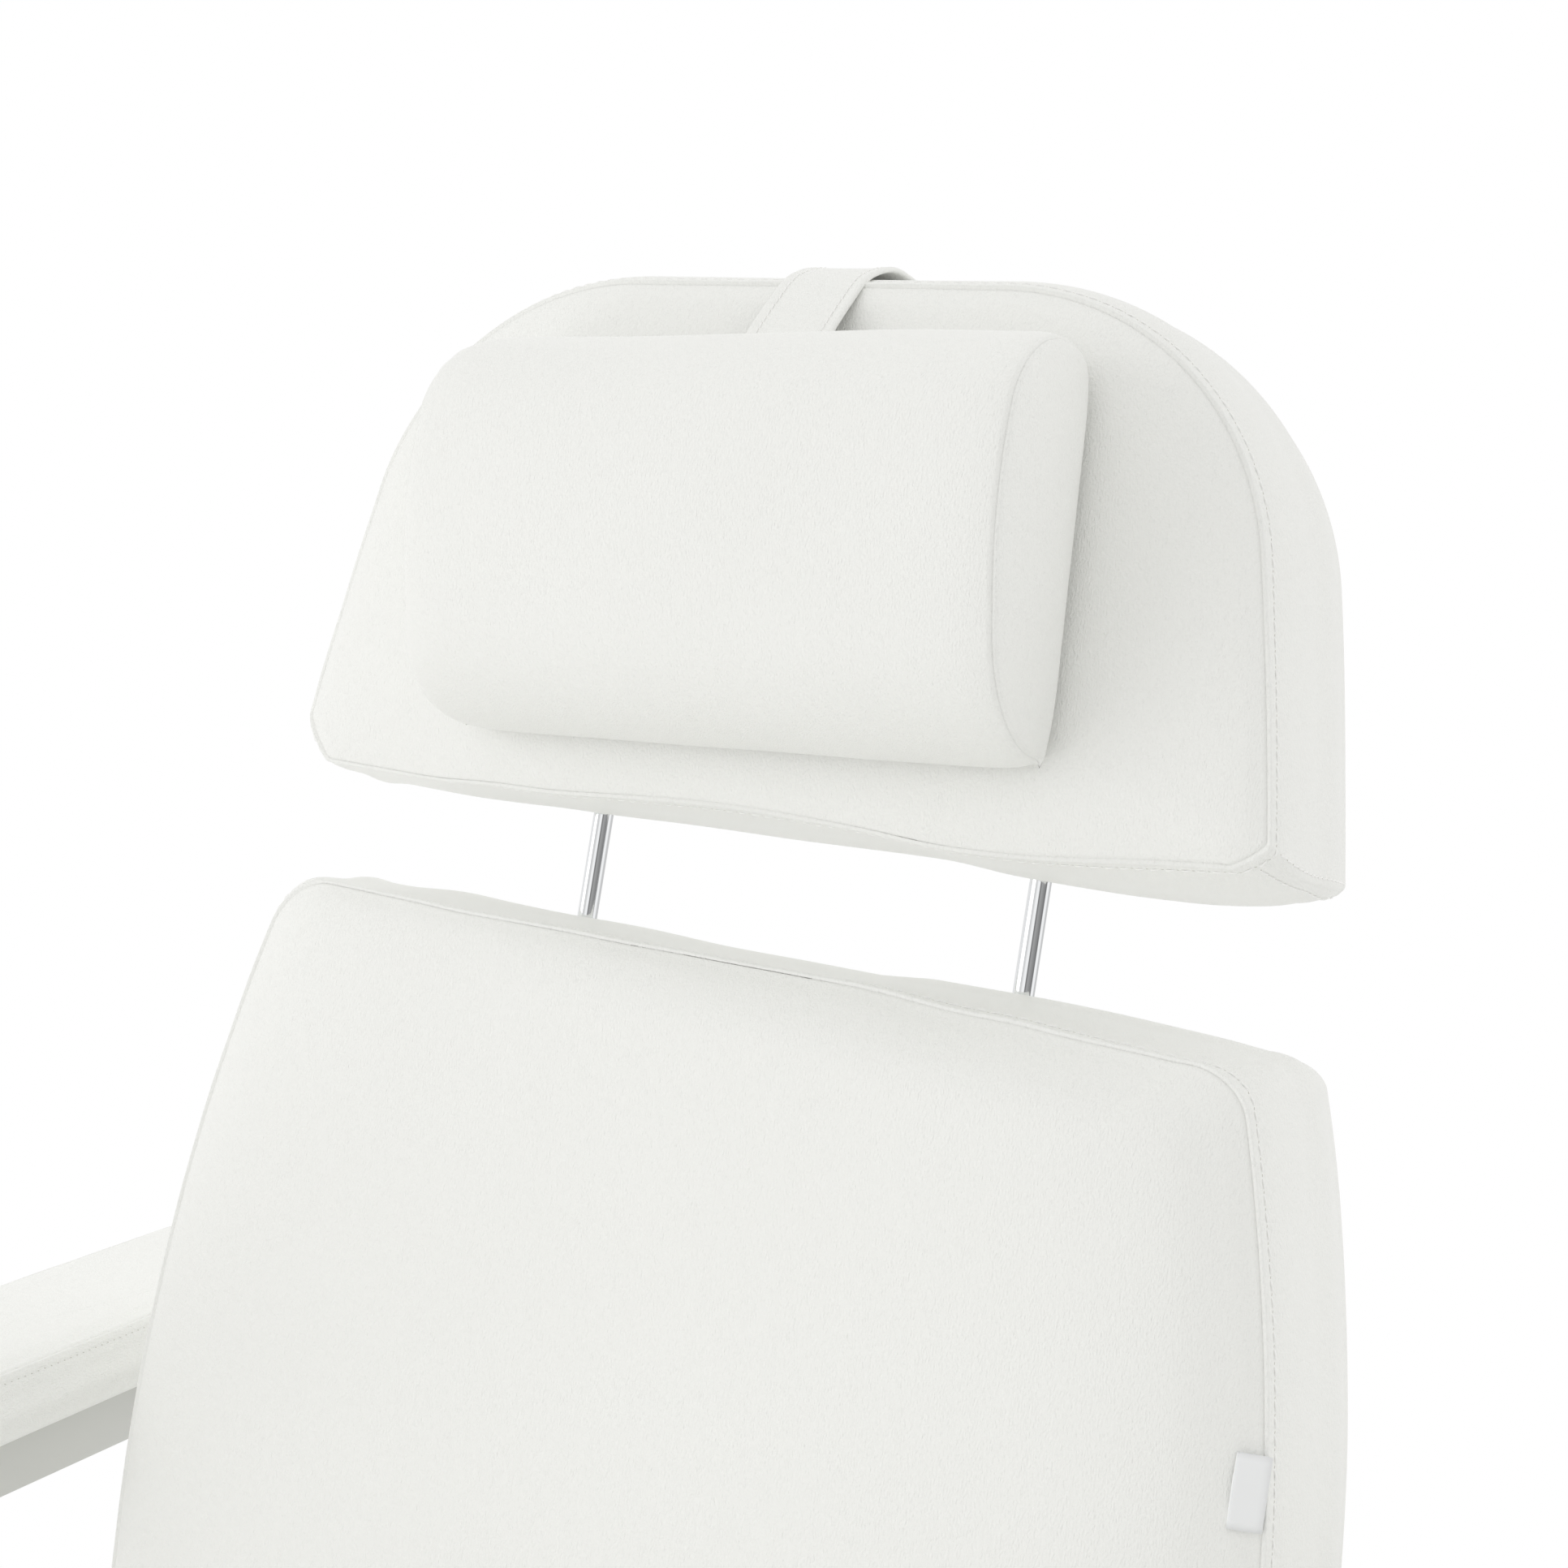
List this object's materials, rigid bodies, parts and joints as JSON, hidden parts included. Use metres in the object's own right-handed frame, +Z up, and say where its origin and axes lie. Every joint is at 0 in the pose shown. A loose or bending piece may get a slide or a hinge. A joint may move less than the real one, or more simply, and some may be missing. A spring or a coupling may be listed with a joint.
{
  "type": "beauty treatment chair",
  "caption": "Reclining salon treatment chair: padded backrest on a hydraulic pedestal, sliding headrest on chrome rods, strapped neck pillow, level-keeping armrests and a legrest.",
  "frame": {"origin": "centre of the base's underside, on the floor", "axes": "+Z up; -Y ahead of the sitter; +X towards the sitter's left hand"},
  "size_m": [0.891, 1.1853, 1.2773],
  "materials": {
    "leatherette": "satin white coated fabric over foam, fine grain",
    "back_cloth": "white coated fabric, matt",
    "label_tape": "plain white woven tape",
    "chrome": "polished chrome plate",
    "grey_steel": "satin light grey powder coat",
    "frame_paint": "satin off-white powder coat",
    "dark_steel": "semi-gloss black paint",
    "bright_steel": "zinc-plated steel",
    "black_plastic": "fine-textured black plastic",
    "rubber": "ribbed black rubber",
    "plywood": "raw birch plywood"
  },
  "bodies": {
    "base": {"floor_pad": "rubber", "base_plate": "dark_steel", "base_cover": "chrome", "pump_housing": "dark_steel", "pump_bolts": "bright_steel", "pump_cylinder": "chrome", "cylinder_collar": "black_plastic", "pedal_pin": "bright_steel"},
    "pedal": {"pedal_lever": "dark_steel", "pedal_grip": "rubber"},
    "ram": {"lift_ram": "chrome", "thrust_washer": "bright_steel"},
    "seat": {"swivel_spindle": "dark_steel", "top_plate": "frame_paint", "top_plate_bolts": "bright_steel", "seat_rails": "frame_paint", "seat_crossbars": "frame_paint", "frame_ears": "frame_paint", "hinge_pins": "bright_steel", "hinge_caps": "black_plastic", "link_pins": "bright_steel", "seat_board": "plywood", "seat_cushion": "leatherette", "strut_saddles": "frame_paint", "strut_barrel": "dark_steel"},
    "strut_rod": {"strut_rod": "chrome"},
    "release": {"release_lever": "bright_steel", "release_knob": "black_plastic"},
    "backrest": {"back_frame": "frame_paint", "back_brackets": "frame_paint", "back_board": "plywood", "back_cushion": "leatherette", "back_panel": "back_cloth", "back_screws": "bright_steel", "rod_guides": "frame_paint", "guide_bushes": "black_plastic", "arm_shaft": "chrome", "shaft_caps": "black_plastic", "sewn_tag": "label_tape"},
    "headrest": {"headrest_rods": "chrome", "rod_bracket": "frame_paint", "headrest_board": "plywood", "headrest_panel": "back_cloth", "headrest_cushion": "leatherette"},
    "pillow": {"neck_pillow": "leatherette", "pillow_strap": "leatherette"},
    "armrest_left": {"arm_beam_left": "grey_steel", "arm_pad_left": "leatherette", "arm_link_pin_left": "bright_steel"},
    "armrest_right": {"arm_beam_right": "grey_steel", "arm_pad_right": "leatherette", "arm_link_pin_right": "bright_steel"},
    "front_link_left": {"front_link_left": "grey_steel"},
    "front_link_right": {"front_link_right": "grey_steel"},
    "legrest": {"legrest_frame": "frame_paint", "legrest_board": "plywood", "legrest_panel": "back_cloth", "legrest_cushion": "leatherette"}
  },
  "joints": [
    {"name": "seat_lift", "type": "slide", "parent": "base", "child": "ram", "axis": [0, 0, 1], "range_m": [0, 0.14]},
    {"name": "seat_swivel", "type": "hinge", "parent": "ram", "child": "seat", "pos_m": [0, 0, 0.333], "axis": [0, 0, 1], "continuous": true},
    {"name": "pedal_press", "type": "hinge", "parent": "base", "child": "pedal", "pos_m": [0.084, 0, 0.084], "axis": [0, 1, 0], "range_deg": [0, 10], "stiffness_Nm_per_rad": 40, "springref_deg": -14.32},
    {"name": "backrest_recline", "type": "hinge", "parent": "seat", "child": "backrest", "pos_m": [0, 0.287, 0.474], "axis": [-1, 0, 0], "range_deg": [0, 71.7]},
    {"name": "strut_stroke", "type": "slide", "parent": "seat", "child": "strut_rod", "axis": [0, -1, 0], "range_m": [0, 0.14672]},
    {"name": "armrest_left_level", "type": "hinge", "parent": "backrest", "child": "armrest_left", "pos_m": [0.379, 0.45196, 0.65748], "axis": [-1, 0, 0], "range_deg": [-71.7, 0]},
    {"name": "armrest_right_level", "type": "hinge", "parent": "backrest", "child": "armrest_right", "pos_m": [-0.379, 0.45196, 0.65748], "axis": [-1, 0, 0], "range_deg": [-71.7, 0]},
    {"name": "front_link_left_swing", "type": "hinge", "parent": "seat", "child": "front_link_left", "pos_m": [0.36, -0.04056, 0.45408], "axis": [-1, 0, 0], "range_deg": [0, 71.7]},
    {"name": "front_link_right_swing", "type": "hinge", "parent": "seat", "child": "front_link_right", "pos_m": [-0.36, -0.04056, 0.45408], "axis": [-1, 0, 0], "range_deg": [0, 71.7]},
    {"name": "legrest_raise", "type": "hinge", "parent": "seat", "child": "legrest", "pos_m": [0, -0.302, 0.474], "axis": [-1, 0, 0], "range_deg": [-12, 50]},
    {"name": "headrest_height", "type": "slide", "parent": "backrest", "child": "headrest", "axis": [0, 0.314, 0.9494], "range_m": [-0.045, 0.08]},
    {"name": "pillow_lift", "type": "slide", "parent": "headrest", "child": "pillow", "axis": [0, 0.314, 0.9494], "range_m": [0, 0.3]},
    {"name": "release_pull", "type": "hinge", "parent": "seat", "child": "release", "pos_m": [0.314, 0.1, 0.373], "axis": [-1, 0, 0], "range_deg": [0, 18], "stiffness_Nm_per_rad": 3, "springref_deg": -20.05}
  ],
  "couplings": [
    {"joint": "strut_stroke", "follows": "backrest_recline", "m_per_rad": 0.11701},
    {"joint": "armrest_left_level", "follows": "backrest_recline", "ratio": -1},
    {"joint": "front_link_left_swing", "follows": "backrest_recline", "ratio": 1},
    {"joint": "armrest_right_level", "follows": "backrest_recline", "ratio": -1},
    {"joint": "front_link_right_swing", "follows": "backrest_recline", "ratio": 1}
  ]
}
